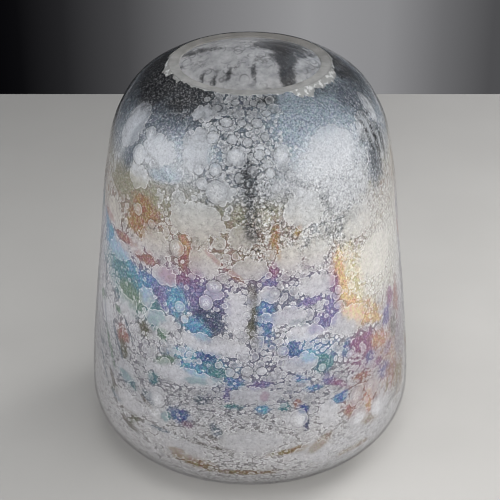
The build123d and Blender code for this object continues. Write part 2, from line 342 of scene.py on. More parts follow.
# Open film, free of froth: (*place, tone)
FILM_PATCHES = [
    (-62, 203, 28, 9, "charcoal"), (-48, 194, 11, 6, "slate"), (11, 206.5, 5, 2.2, "charcoal"),
    (46, 206, 9, 3.4, -10, "charcoal"), (62, 200, 3, 8, 20, "charcoal"), (-57, 182, 4, 19, -14, "slate"),
    (37, 200, 21, 11, "steel"), (-15, 187, 3, 5, "steel"), (61, 169, 6, 9, "slate"),
    (66, 200, 10, 7, "slate"), (-36, 174, 7, 3, 10, "steel"), (-50, 160, 18, 6, -8, "khaki"),
    (-44, 154, 8, 5, -20, "ochre"), (-49, 145, 7, 5, -30, "ochre"), (-64, 157, 8, 3, "khaki"),
    (-4, 158, 3, 6, "khaki"), (4, 159, 3.4, 4, "cream"), (9, 149, 1.8, 6, -10, "ochre"),
    (18, 151, 1.6, 3, -20, "ochre"), (-25, 141, 2.4, 6, "orange"), (-25, 133, 2.6, 5, "rust"),
    (-13, 138, 6, 1.2, -40, "rust"), (-5, 130, 4, 1.4, -40, "rust"), (-56, 133, 9, 2.2, "rust"),
    (-42, 129, 7, 3, "rust"), (-30, 124, 7, 4.5, "magenta"), (-22, 125, 5, 6, "magenta"),
    (-39, 116, 8, 5.5, -14, "blue"), (-33, 112, 6, 6, "violet"), (-27, 112, 6, 7, "azure"),
    (-66, 124, 13, 6, -30, "azure"), (-53, 119, 9, 4.5, -30, "azure"), (-44, 111, 8, 4.5, -40, "azure"),
    (-36, 104, 7, 3.5, -40, "teal"), (-56, 113, 13, 6.5, -16, "teal"), (-50, 105, 10, 5, -12, "green"),
    (-16, 116, 9, 9, "violet"), (-15, 105, 7, 8, "navy"), (-20, 101, 6, 4, -25, "azure"),
    (1, 121, 2.0, 4, 10, "umber"), (1.8, 112, 1.9, 5, "olive"), (0.6, 103, 2.2, 5, "olive"),
    (5.5, 108, 3.6, 10, "blue"), (7, 128, 3.6, 4, "violet"), (8.5, 133, 2.4, 3.5, "magenta"),
    (9.8, 144, 1.3, 6, 14, "ochre"), (35.5, 122, 2.6, 15, 8, "gold"), (40, 104, 3.4, 9, 26, "gold"),
    (50, 92, 11, 2.4, -24, "gold"), (32.5, 117, 2.4, 8, 8, "magenta"), (31, 107, 3.5, 8, "violet"),
    (26, 101, 6, 4.5, "violet"), (22, 114, 6, 1.6, 10, "violet"), (18, 104, 6, 2, -12, "slate"),
    (-37, 98, 4, 4, "teal"), (-33, 93, 3, 3, "green"), (-41, 91, 4, 3.5, -40, "olive"),
    (-57, 92, 3, 1.6, "green"), (-15, 86, 4, 3.6, -30, "cobalt"), (-12, 79, 5, 4, "teal"),
    (-19, 77, 6, 2.6, -12, "azure"), (-31, 79, 6, 2.2, 20, "green"), (-18, 72, 6, 1.8, "teal"),
    (-53, 80, 5, 5, "rust"), (-52, 73, 4, 4, -30, "olive"), (14, 89, 4.6, 3, -30, "cobalt"),
    (21, 85, 4.6, 3, -30, "azure"), (27, 79, 4.6, 4.5, "teal"), (18, 73, 4, 2, -20, "blue"),
    (28, 70, 4, 2.6, -20, "violet"), (23, 67, 4, 1.4, "blue"), (-5, 73, 4, 3, 10, "blue"),
    (3, 72, 5, 2, 10, "violet"), (-8, 66, 2, 3, "violet"), (5, 66, 2, 2.6, "magenta"),
    (-6, 60, 4, 1.3, "teal"), (4, 59, 3, 2, "azure"), (12, 59, 3, 2, "teal"), (16.5, 60, 2.2, 2.4, "rust"),
    (18.5, 56, 3, 2.4, -40, "cobalt"), (19.5, 49, 1.6, 4, "navy"), (37, 83, 3, 4, "blue"),
    (42, 82, 6, 4.5, -10, "magenta"), (48, 78, 4, 8, 10, "magenta"), (54, 77, 6, 4.5, -20, "orange"),
    (48, 71, 3, 3, "violet"), (33, 57, 4.5, 2.6, "blue"), (33, 65, 5, 1.8, -30, "magenta"),
    (43, 63, 6, 2, -10, "rust"), (52, 65, 4, 2, "magenta"), (57, 57, 6, 4, -20, "violet"),
    (63, 50, 7, 6, -30, "rust"), (70, 42, 8, 9, -20, "bronze"), (71, 88, 4, 9, "rust"),
    (64, 95, 4, 4, "magenta"), (66, 77, 4, 5, "umber"), (60, 86, 3.4, 5, "violet"),
    (60, 68, 4, 3, "magenta"), (37, 47, 3, 3, "rust"), (46, 46, 2.4, 7, "orange"),
    (25, 34, 6, 2.2, 30, "bronze"), (46, 35, 6, 2.4, -20, "bronze"), (14, 33, 9, 1.6, 8, "bronze"),
    (-20, 24, 10, 3.4, -10, "bronze"), (-2, 20, 14, 1.8, "bronze"), (40, 22, 9, 1.8, "bronze"),
    (-48, 32, 8, 1.8, -20, "umber"), (-57, 45, 4, 2.4, 30, "olive"), (-26, 29, 5, 1.4, "bronze"),
    (-47, 39, 9, 1.2, "umber"), (-45, 36, 4, 2.2, 40, "olive"), (-25, 50, 4.4, 3.8, "cobalt"),
    (-30, 47, 3, 2.2, 30, "teal"), (-22, 46, 3, 1.6, "plum"), (-38, 54, 4, 3, -30, "slate"),
    (-49, 58, 6, 3, -20, "teal"), (-36, 66, 3, 3, "teal"), (-17, 62, 4, 1.8, "slate"),
    (-12, 43, 4, 3, -30, "umber"), (-55, 42, 5, 1.6, -10, "slate"), (-33, 38, 6, 1, "slate"),
    (-70, 64, 5, 2, "slate"), (-72, 90, 4, 3, "green"), (-70, 137, 6, 2, "rust"),
    (-68, 84, 1.1, 9, 25, "slate"), (-62, 68, 1.5, 10, 35, "green"), (-56, 74, 1.1, 8, 35, "slate"),
    (-66, 52, 1.2, 8, 40, "slate"), (-58, 50, 1.4, 7, 45, "umber"), (-70, 102, 1.1, 9, 15, "slate"),
    (-50, 86, 1.0, 7, 35, "slate"), (-12, 46, 2.6, 3.4, 30, "slate"), (-15, 36, 12, 1.2, -8, "umber"),
    (-38, 50, 7, 1.1, -30, "umber"), (58, 46, 5, 1.4, 40, "bronze"), (64, 36, 8, 1.4, 20, "umber"),
]
# Much the same film, which goes on round the back: (*place, tone)
BACK_PATCHES = [
    (95, 150, 12, 6, "khaki"), (118, 134, 14, 5, 10, "ochre"), (142, 128, 10, 6, -10, "rust"),
    (165, 122, 14, 5, 6, "magenta"), (190, 116, 12, 6, -8, "violet"), (214, 112, 12, 6, 8, "blue"),
    (238, 118, 13, 5, -6, "azure"), (262, 124, 11, 5, 6, "teal"), (104, 108, 12, 5, -10, "orange"),
    (130, 98, 12, 5, 8, "magenta"), (156, 92, 10, 5, "blue"), (182, 88, 12, 4, 6, "teal"),
    (206, 84, 12, 4, -6, "green"), (232, 88, 10, 4, 8, "olive"), (256, 82, 10, 4, "teal"),
    (112, 70, 11, 4, "rust"), (140, 62, 11, 3.5, 6, "navy"), (170, 56, 12, 3.5, -6, "teal"),
    (200, 58, 11, 3.5, 6, "violet"), (228, 52, 11, 3.5, "navy"), (254, 56, 10, 3.5, -6, "slate"),
    (95, 40, 9, 3, "ochre"), (150, 36, 12, 2.5, "olive"), (210, 34, 12, 2.5, 6, "ochre"),
    (270, 36, 9, 2.5, "umber"), (120, 200, 18, 6, "slate"), (258, 203, 16, 6, "charcoal"),
    (164, 205, 9, 5, "charcoal"), (164, 193, 4, 8, 4, "charcoal"), (165, 180, 2.2, 9, -4, "slate"),
    (190, 206, 30, 3, "charcoal"), (186, 190, 2.4, 5, 12, "slate"), (199, 184, 3, 5, -16, "slate"),
    (212, 178, 3, 5, 20, "slate"), (148, 182, 3, 4, -30, "slate"), (222, 192, 4, 5, "slate"),
]
# Bright places: milky glass in part, but mostly a painted highlight on the shoulders and painted bounce light
# low on the wall: (*place, amount)
MILK_AND_PAINTED_LIGHT = [
    (38, 182, 18, 12, 0.7), (22, 178, 13, 6, 20, 0.7), (42, 168, 14, 10, 0.55), (54, 150, 12, 12, 0.3),
    (64, 134, 14, 10, 12, 0.25), (-66, 184, 8, 14, -15, 0.25), (-36, 182, 15, 9, 0.3), (0, 41, 16, 3, 0.2),
    (-22, 35, 8, 3, 0.25), (72, 150, 12, 44, 0.2), (48, 25, 34, 14, 0.35), (66, 62, 20, 36, 0.1),
    (-70, 62, 16, 56, 0.1),
]
# Smoky glass, and painted dark reflection down the front and at the shoulders' outline, where little light
# comes back: (*place, amount)
SMOKE_AND_DARK_REFLECTION = [
    (-0.5, 175, 3.2, 9, 0.85), (0.8, 158, 3.2, 10, 0.8), (0.5, 166, 2.4, 16, 0.6), (1.5, 110, 2.2, 14, 0.4),
    (58, 185, 5, 2, 40, 0.6), (70, 184, 6, 2, -40, 0.6), (66, 192, 7, 1.6, -20, 0.6),
    (-62, 200, 16, 6, 0.5), (-84, 194, 13, 11, 0.75), (90, 196, 12, 9, 0.7), (66, 178, 1.8, 13, 1.0),
    (61, 182, 1.4, 10, 8, 0.9), (72, 174, 1.8, 9, 0.9), (61, 170, 3, 8, 20, 0.5),
    (18, 176, 9, 1.8, -35, 0.4), (14, 169, 4, 3, 0.35), (31, 161, 1.6, 5, 20, 0.5),
    (-40, 176, 7, 1.2, -35, 0.4), (14, 180, 5, 4, 0.25), (28, 163, 4, 5, 30, 0.25),
    (34, 148, 9, 2, 10, 0.4), (78, 196, 2, 9, 10, 0.6), (40, 152, 9, 3, 0.3), (-20, 96, 30, 3, 0.12),
]
# Gritty places, with painted glints and dark specks: (*place, amount)
GRIT_AND_GLINTS = [
    (-4, 190, 20, 24, 0.5), (2, 163, 8, 24, 1.0), (34, 158, 34, 24, 0.8), (64, 172, 18, 30, 0.9),
    (-50, 202, 40, 10, 0.5), (30, 200, 30, 12, 0.35), (-2, 47, 22, 7, 0.65), (-14, 58, 24, 7, 0.5),
    (-24, 38, 8, 2, 0.9), (40, 182, 14, 8, 0.35), (62, 56, 22, 26, 0.4), (180, 190, 150, 26, 0.6),
]
GRIT_AND_GLINTS_BASE = 0.2
# Places where the froth and the islands take on the film's colour: (*place, amount)
BLUSH = [
    (38, 118, 9, 18, 8, 0.7), (47, 100, 14, 6, -24, 0.8), (60, 118, 18, 20, 0.6),
    (-46, 152, 13, 8, -20, 0.5), (-24, 136, 6, 8, 0.4), (-56, 115, 18, 9, -16, 0.75),
    (-30, 112, 14, 10, -10, 0.3), (10, 112, 7, 12, 0.3), (54, 78, 14, 10, 0.35), (66, 66, 10, 24, 0.7),
    (20, 86, 14, 6, -10, 0.3), (-16, 82, 12, 6, 0.3), (44, 52, 9, 8, 0.3), (-21, 24, 9, 3, -10, 0.9),
    (25, 34, 7, 2.6, 30, 0.9), (12, 32, 10, 1.6, 0.7), (-2, 20, 14, 2, 0.6),
]
# Smoky streaks seen inside, on the back of the bowl: (*place, amount)
INNER_STREAKS = [
    (162, 196, 15, 5, 0.85), (162, 188, 8, 7, 0.8), (162, 177, 4.6, 14, 0.85), (150, 192, 9, 3, -20, 0.6),
    (210, 194, 15, 2.4, 0.5), (196, 203, 18, 2.2, 0.35), (203, 173, 1.2, 4, 0.6), (197, 171, 1.2, 4, 0.6),
    (190, 174, 1.5, 5, 0.6), (186, 180, 1.6, 4, 30, 0.4), (178, 175, 1.7, 7, 0.6),
    (174, 184, 4, 3, 30, 0.4), (206, 184, 6, 2, 25, 0.4), (219, 184, 5, 3, 0.4),
    (140, 186, 6, 2.4, -30, 0.35), (152, 176, 1.2, 3, 0.3),
]
# Single bubbles with a clear ring: (azimuth, height, half width, half height)
RING_BUBBLES = [
    (-6, 187, 4, 4), (13, 187, 3.5, 4), (-17, 194, 3, 3), (-8, 194, 2.4, 2.4), (4, 188, 2.4, 2.4),
    (-14, 181, 3, 3.2), (1, 181, 2.8, 2.8), (8, 180, 2.4, 2.4), (-4, 178, 2.4, 2.6), (10, 173, 2.4, 2.4),
    (-9, 206, 1.8, 1.6), (2, 206, 1.8, 1.6), (-19, 204, 2.4, 2), (9, 203, 2, 1.8), (-21, 180, 2.6, 2.6),
    (16, 178, 2.4, 2.8), (20, 170, 2.6, 2.6), (-19, 174, 3, 3), (3.5, 200, 2.5, 2.5), (-4, 200, 2, 2),
    (-12, 200, 3, 2.4), (7, 195, 2, 2), (-1, 193, 2.2, 2.2), (-28, 140, 4, 4.6), (34, 116, 2.2, 2.4),
    (34, 108, 3, 2.2), (26, 77, 2.2, 2.2), (11.5, 90, 3, 3), (-16, 115, 3.6, 4), (-13, 124, 4, 3.2),
    (38, 79, 2.6, 2.2), (40, 54, 4.4, 4.6), (47, 55, 3.6, 3.6), (41, 40, 5.4, 5), (51, 39, 4.6, 6),
    (-34, 55, 4.6, 4.4), (-35, 47, 4.4, 3.6), (17, 51, 4.8, 4.6), (-1, 80, 3, 2.8), (-7, 79, 2.4, 2.6),
    (4, 80, 2.6, 2.2), (-52, 178, 5, 5), (-49, 189, 3.4, 3.4), (-13, 171, 5.4, 5.6), (74, 192, 5, 9),
    (9, 121, 2.6, 2.6), (59, 187, 5, 6), (-48, 152, 3, 3), (-40, 148, 2.4, 2.4), (-26, 110, 3, 3),
    (-24, 104, 2.2, 2.2), (45, 48, 2, 2.6),
]
# How much of the wall froth covers, by height
FROTH_HEIGHTS = [0, 30, 70, 120, 150, 170, 190, 206]
FROTH_LEVELS = [1, 1, 1, 0.9, 0.8, 0.4, 0.2, 0.05]
FOAM_AZIMUTH = -6

# ---------------------------------------------------------------- pattern on the grid

patch_ripple = 0.42 * layered_noise(5, 4, 83) + 0.3 * layered_noise(2.0, 1.7, 89, 2)


def patch_weight(azimuth, height, *shape, blur=0.35):
    """How much each grid point belongs to a patch, with a rippled edge."""
    length = float(OUTER.length_at(height))
    x = float(OUTER.at(length)[0]) * np.radians(angle_from(azimuths, azimuth))[None, :]
    share = elliptical(x, (lengths - length)[:, None], *shape) - 0.2
    return smooth_step(share + patch_ripple, 1 + blur, 1 - blur)


def srgb(red, green, blue):
    """Linear colour from 0 to 255 display values."""
    shares = [((v / 255 + 0.055) / 1.055) ** 2.4 if v > 10 else v / 3294 for v in (red, green, blue)]
    return (*shares, 1.0)


def paint_film():
    """The film's colour over the grid, and how open it is (free of froth)."""
    linear = {name: np.array(srgb(*colour)[:3]) for name, colour in TONES.items()}
    heights, names = zip(*BASE_TONES)
    waver = 5 * layered_noise(30, 18, 11) + 3 * layered_noise(5, 4, 17)
    channels = [[linear[name][channel] for name in names] for channel in range(3)]
    colour = np.stack([np.interp(grid_height[:, None] + waver, heights, values) for values in channels], -1)
    bare = np.zeros((ROWS, COLUMNS))
    for *place, name in TONE_PATCHES:
        colour += patch_weight(*place, blur=0.5)[..., None] * (linear[name] - colour)
    for *place, name in FILM_PATCHES + BACK_PATCHES:
        colour += patch_weight(*place, blur=0.6)[..., None] * (linear[name] - colour)
        bare = np.maximum(bare, patch_weight(*place))
    return colour, bare


def paint_amount(table):
    """The strongest of a table's amounts at each grid point."""
    amount = np.zeros((ROWS, COLUMNS))
    for *place, share in table:
        amount = np.maximum(amount, share * patch_weight(*place, blur=0.6))
    return amount


def froth_cover(bare):
    """How much of each place froth covers, with a dense column of foam down the front of the shoulder."""
    beside = np.abs(azimuths - FOAM_AZIMUTH)[None, :] + 7 * layered_noise(9, 7, 101)
    foam = smooth_step(beside, 28, 13) * smooth_step(grid_height, 160, 175)[:, None]
    level = np.interp(grid_height, FROTH_HEIGHTS, FROTH_LEVELS)[:, None]
    froth = level + 0.25 * layered_noise(22, 14, 97) - 0.76 * bare
    return np.maximum(np.clip(froth, 1.1 * foam - 0.3 * bare, 1), 0)


def stamp_islands():
    """All the islands, each with a tone of its own."""
    blots = Blots()
    for shapes in ISLAND_NODES.values():
        for shape in shapes:
            stamp_island(blots, *shape, tone=rng.uniform(0.3, 0.7))
    return blots


def stamp_rings():
    """The single bubbles, each with a tone of its own."""
    blots = Blots()
    for azimuth, height, half_width, half_height in RING_BUBBLES:
        blots.stamp(azimuth, float(OUTER.length_at(height)), half_width, half_height, tone=rng.random())
    return blots


film, bare = paint_film()
milk_and_painted_light = paint_amount(MILK_AND_PAINTED_LIGHT)
smoke_and_reflection_amount = paint_amount(SMOKE_AND_DARK_REFLECTION)
froth = froth_cover(bare)
islands = stamp_islands()
rings = stamp_rings()
# What the materials read at each point of the film and the islands
POINT_FIELDS = {
    "film": film,
    "blush": np.maximum(paint_amount(BLUSH), 0.6 * bare),
    "milk_and_painted_light": milk_and_painted_light,
    # The smoke field holds smoky glass and painted dark reflection
    "smoke": smoke_and_reflection_amount,
    "froth": froth,
    "grit_and_glints": np.maximum(GRIT_AND_GLINTS_BASE, paint_amount(GRIT_AND_GLINTS)) * (1 - 0.9 * milk_and_painted_light),
    "ring": rings.field,
    "tone": np.where(rings.field > islands.field, rings.tone, islands.tone),
}
# How far the film waves, and how far the islands and the single bubbles stand up, in mm
film_waves = layered_noise(26, 26, 23) * 0.12 + layered_noise(3.2, 2.6, 29) * 0.03
rise = 0.22 * np.clip(islands.field / 1.2, 0, 1) ** 0.6 + 0.3 * np.clip(rings.field / 2.0, 0, 1) ** 0.5

# ---------------------------------------------------------------- meshes


def add_mesh(name, points, faces, attributes):
    """A smooth mesh object from arrays: points in mm, and lists of quads or triangles by index."""
    mesh = bpy.data.meshes.new(name)
    mesh.vertices.add(len(points))
    mesh.vertices.foreach_set("co", (np.asarray(points) * MM).astype(np.float32).ravel())
    corners = np.concatenate([part.ravel() for part in faces])
    totals = np.concatenate([np.full(len(part), part.shape[1]) for part in faces])
    mesh.loops.add(len(corners))
    mesh.loops.foreach_set("vertex_index", corners.astype(np.int32))
    mesh.polygons.add(len(totals))
    mesh.polygons.foreach_set("loop_start", np.concatenate([[0], np.cumsum(totals)[:-1]]).astype(np.int32))
    mesh.polygons.foreach_set("loop_total", totals.astype(np.int32))
    mesh.polygons.foreach_set("use_smooth", np.full(len(totals), True))
    for key, values in attributes.items():
        values = np.asarray(values, np.float32).ravel()
        if len(values) == 3 * len(points):
            mesh.attributes.new(key, "FLOAT_VECTOR", "POINT").data.foreach_set("vector", values)
        else:
            mesh.attributes.new(key, "FLOAT", "POINT").data.foreach_set("value", values)
    mesh.update(calc_edges=True)
    mesh.validate()
    piece = bpy.data.objects.new(name, mesh)
    bpy.context.scene.collection.objects.link(piece)
    return piece


def ring_points(radius, height, angles):
    """Points round the axis; radius and height are arrays of rows by columns or rows by one."""
    turn = np.radians(angles)[None, :]
    shape = np.broadcast(radius, turn).shape
    x, y = radius * np.sin(turn), -radius * np.cos(turn)
    return np.stack([x, y, np.broadcast_to(height, shape)], -1).reshape(-1, 3)


def ring_faces(rows, columns):
    """Quads between neighbouring rings, facing outwards when the rings go up the outside."""
    index = np.arange(rows * columns).reshape(rows, columns)
    beside = np.roll(index, -1, axis=1)
    return np.stack([index[:-1], beside[:-1], beside[1:], index[1:]], -1).reshape(-1, 4)


def add_part(name, points, faces, keep, attributes):
    """A mesh object of the kept faces only, with the points and attributes that they use."""
    faces = faces[keep]
    used = np.unique(faces)
    number = np.full(len(points), -1)
    number[used] = np.arange(len(used))
    rows = {key: np.reshape(values, (len(points), -1))[used] for key, values in attributes.items()}
    return add_mesh(name, points[used], [number[faces]], rows)


# How far below the lip's outer edge the film stops, by azimuth, and how long its ragged teeth are
EDGE_GAP = [
    (-180, 0.5), (-140, 0.8), (-105, 2.4), (-78, 3.6), (-60, 2.6), (-40, 1.2), (-28, 0.6), (12, 0.5),
    (24, 0.9), (34, 2.8), (50, 4.4), (66, 3.8), (84, 1.8), (120, 1.0), (150, 0.5), (180, 0.5),
]
EDGE_BLEND = 14.0
TALL_CELL = 400  # noise cells taller than the wall, so that the noise depends on azimuth alone
edge_gap = np.interp(azimuths, *zip(*EDGE_GAP))
teeth = sum(share * lattice_noise(width, TALL_CELL, seed)[0]
            for width, seed, share in ((9.0, 41, 0.6), (4.0, 43, 0.5), (2, 47, 0.2)))
film_edge = LIP_LENGTH - 0.15 - edge_gap * (1 + 0.95 * teeth)
smoke_edge = LIP_LENGTH - edge_gap * (0.8 + 0.85 * teeth) - 0.4 * lattice_noise(1.8, TALL_CELL, 71)[0]


def fitted_lengths(spaced, edge):
    """Lengths along the wall, with the rows near the top drawn in to follow a ragged edge."""
    start = LIP_LENGTH - EDGE_BLEND
    share = np.clip((spaced - start) / (spaced[-1] - start), 0, 1)[:, None]
    return np.where(share > 0, start + share * (edge[None, :] - start), spaced[:, None])


def film_depth(length):
    """The film's depth under the casing's surface: it comes up towards the ground lip."""
    return np.minimum(FILM_DEPTH, 0.12 + 0.22 * np.clip(LIP_LENGTH - length, 0, None))


def sample_rows(field, wanted):
    """Reads a grid field at other lengths, column by column."""
    spot = (wanted - lengths[0]) / ROW_STEP
    low = np.clip(spot.astype(int), 0, ROWS - 2)
    share = np.clip(spot - low, 0, 1)
    columns = np.arange(COLUMNS)[None, :]
    share = share[..., None] if field.ndim == 3 else share
    return field[low, columns] * (1 - share) + field[low + 1, columns] * share


# The film's relief dies away over this length below the lip
CALM_REACH = 10
# Heights between which each island node's shapes lie
NODE_HEIGHTS = {
    "heel_islands": (0, 79),
    "belly_islands": (79, 130),
    "belt_islands": (130, 166),
    "shoulder_islands": (166, 300),
}


def build_film_and_islands():
    """The pattern grid as meshes: the islands where their field is above 0, and the film everywhere else."""
    fitted = fitted_lengths(lengths, film_edge)
    island = sample_rows(islands.field, fitted)
    calm_near_lip = np.clip((LIP_LENGTH - fitted) / CALM_REACH, 0, 1)
    depth = film_depth(fitted) - calm_near_lip * sample_rows(rise + film_waves, fitted)
    radius, height = OUTER.at(fitted, depth)
    points = ring_points(radius, height, azimuths)
    attributes = {name: sample_rows(field, fitted) for name, field in POINT_FIELDS.items()}
    attributes["island"] = island
    faces = ring_faces(ROWS, COLUMNS)
    middle = island.ravel()[faces].mean(axis=1) > 0.0
    level = height.ravel()[faces].mean(axis=1)
    pieces = {"lustre_film": add_part("lustre_film", points, faces, ~middle, attributes)}
    for node, (low, high) in NODE_HEIGHTS.items():
        keep = middle & (level >= low) & (level < high)
        pieces[node] = add_part(node, points, faces, keep, attributes)
    return pieces


CASING_SETBACK = 0.2
CASING_COLUMN_STEP = 2
GATHER_COLUMN_STEP = 3
LEAST_GLOSS_RELIEF = 0.12


def casing_swell(foot, rows, columns):
    """The outer skin's gentle waves and the bubbles that show through it, inside the CAD surface."""
    wave = 0.10 * layered_noise(30, 30, 61) + 0.04 * layered_noise(5, 4, 67) + 0.12 * rise
    swell = wave[rows][:, columns] - CASING_SETBACK
    swell[(foot < 6) | (foot >= LIP_LENGTH - 4)] = 0
    return swell


def build_casing():
    """The clear outer skin: slightly wavy, with a sunk pontil mark under the foot."""
    columns = slice(0, COLUMNS, CASING_COLUMN_STEP)
    angles = azimuths[columns]
    foot = np.concatenate([np.linspace(-FOOT_RADIUS + 1, -7, 26), lengths[:-3:2], [LIP_LENGTH]])
    rows = np.clip(((foot - lengths[0]) / ROW_STEP).astype(int), 0, ROWS - 1)
    radius, height = OUTER.at(foot[:, None], np.clip(-casing_swell(foot, rows, columns), 0, 1))
    height = np.where(foot[:, None] < 0, 0.0, height)
    sink = PONTIL_SINK * np.clip(1 - (radius / PONTIL_RADIUS) ** 2, 0, 1)
    height = np.maximum(height, 0) + np.where(foot[:, None] < 0, sink, 0)
    points = ring_points(radius, height, angles)
    first = np.arange(len(angles))
    cap = np.stack([np.full(len(angles), len(points)), np.roll(first, -1), first], -1)
    rough = froth * (1 - 0.5 * np.clip(islands.field / 2, 0, 1)) + 0.5 * smoke_and_reflection_amount
    rough = np.clip(rough, LEAST_GLOSS_RELIEF, 1)[rows][:, columns].ravel()
    return add_mesh(
        "clear_casing",
        np.concatenate([points, [(0, 0, PONTIL_SINK)]]),
        [ring_faces(len(foot), len(angles)), cap],
        {"rough": np.append(rough, LEAST_GLOSS_RELIEF)},
    )


def build_smoke():
    """Charcoal glass just under the film, its ragged upper edge running a little further than the film's."""
    spaced = np.concatenate([lengths[:-24:4], lengths[-24:]])
    fitted = fitted_lengths(spaced, smoke_edge)
    below_film = np.interp(LIP_LENGTH - fitted, [0.15, 5], [0.1, 0.3])
    radius, height = OUTER.at(fitted, film_depth(fitted) + below_film)
    points = ring_points(radius, height, azimuths)
    dark = smooth_step(sample_rows(film, fitted).mean(axis=-1), 0.075, 0.04)
    return add_mesh("smoke_overlay", points, [ring_faces(len(spaced), COLUMNS)], {"dark": dark})


def gather_inside():
    """Profile of the bowl, from the middle of its floor up to the lip's bore."""
    wall = np.array([(BELLY_RADIUS, HEEL_HEIGHT)] + WALL_POINTS[:-2], float)
    sunk = np.column_stack(OUTER.at(OUTER.length_at(wall[:, 1]), BOWL_DEPTH))
    first = (sunk[0, 0], BOWL_HEEL_HEIGHT + BASE_THICKNESS)
    bowl_wall = smooth_curve([first, *sunk[1:], (LIP_BORE_RADIUS, LIP_HEIGHT - 1.0)], (0, 1), 16)
    heel = rising_quarter(BOWL_FLOOR_RADIUS, first[1], first[0] - BOWL_FLOOR_RADIUS, BOWL_HEEL_HEIGHT)
    floor = np.column_stack([np.linspace(0.5, BOWL_FLOOR_RADIUS, 16)[:-1], np.full(15, BASE_THICKNESS)])
    return np.concatenate([floor, heel[:-1], bowl_wall])


def gather_lip():
    """Profile of the rounded inner edge, the flat ground lip, and the outside just below it."""
    edge = [(LIP_BORE_RADIUS + 0.05, LIP_HEIGHT - 0.6), (LIP_BORE_RADIUS + 0.25, LIP_HEIGHT - 0.36)]
    flat = [(r, LIP_HEIGHT - 0.3) for r in np.linspace(LIP_BORE_RADIUS + 0.6, LIP_RADIUS - 0.25, 6)]
    drop = np.array([0.15, 0.5, 1.0, 1.8, 2.8, 4, 6, 9, 12])
    below_film = np.interp(drop, [0.15, 5], [0.2, 0.5])
    down = OUTER.at(LIP_LENGTH - drop, film_depth(LIP_LENGTH - drop) + below_film)
    return np.concatenate([edge, flat, np.column_stack(down)])


def inner_stain(profile, angles):
    """How much smoke clings inside, on a grid of the gather's profile by angle."""
    stain = np.zeros((len(profile), len(angles)))
    for azimuth, height, *shape, amount in INNER_STREAKS:
        x = profile[:, :1] * np.radians(angle_from(angles, azimuth))[None, :]
        share = elliptical(x, profile[:, 1:] - height, *shape)
        stain = np.maximum(stain, amount * smooth_step(share, 1.5, 0.5))
    return stain


def build_gather():
    """The vessel itself, with its ground lip as a second material."""
    inside = gather_inside()
    profile = np.concatenate([inside, gather_lip()])
    angles = azimuths[::GATHER_COLUMN_STEP]
    haze = np.interp(profile[:, 1], [120, 160], [0.3, 0.8])[:, None] * np.ones(len(angles))[None, :]
    piece = add_mesh(
        "inner_gather",
        ring_points(profile[:, :1], profile[:, 1:], angles),
        [ring_faces(len(profile), len(angles))[:, ::-1]],
        {"haze": haze, "stain": inner_stain(profile, angles)},
    )
    ground = np.repeat(np.arange(len(profile) - 1) >= len(inside) - 2, len(angles))
    piece.data.materials.append(None)
    piece.data.materials.append(None)
    piece.data.polygons.foreach_set("material_index", ground.astype(np.int32))
    piece.data.polygons.foreach_set("use_smooth", ~ground)
    return piece


# ---------------------------------------------------------------- materials

WHITE = (1, 1, 1, 1)


